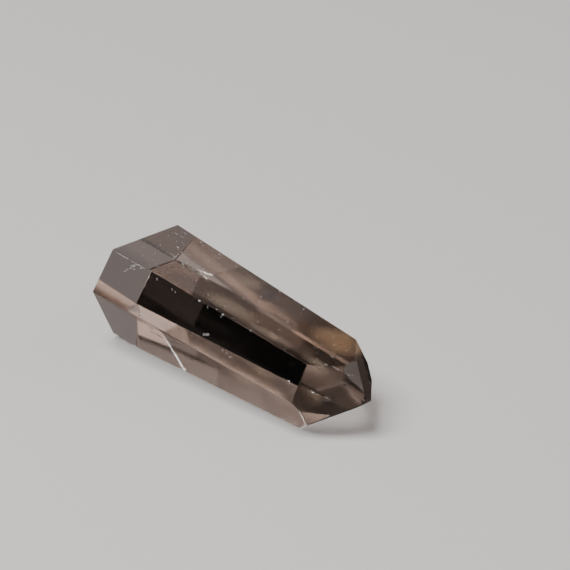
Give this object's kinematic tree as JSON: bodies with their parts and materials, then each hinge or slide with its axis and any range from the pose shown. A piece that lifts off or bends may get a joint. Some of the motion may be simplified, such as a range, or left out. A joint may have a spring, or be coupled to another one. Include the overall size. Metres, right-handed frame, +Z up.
{
  "type": "quartz crystal",
  "caption": "Polished clear quartz point with a dow tip, where large faces alternate with triangles, and a ground flat base; lies on one long face as a display piece.",
  "frame": {"origin": "under the middle of the crystal's bounding box, on the surface that it lies on", "axes": "+X from the ground base to the tip, along the crystal; +Z up"},
  "size_m": [0.06, 0.0242, 0.0181],
  "materials": {
    "quartz": "polished, clear with a faint smoky tint"
  },
  "bodies": {
    "root": {"crystal": "quartz"}
  },
  "joints": []
}
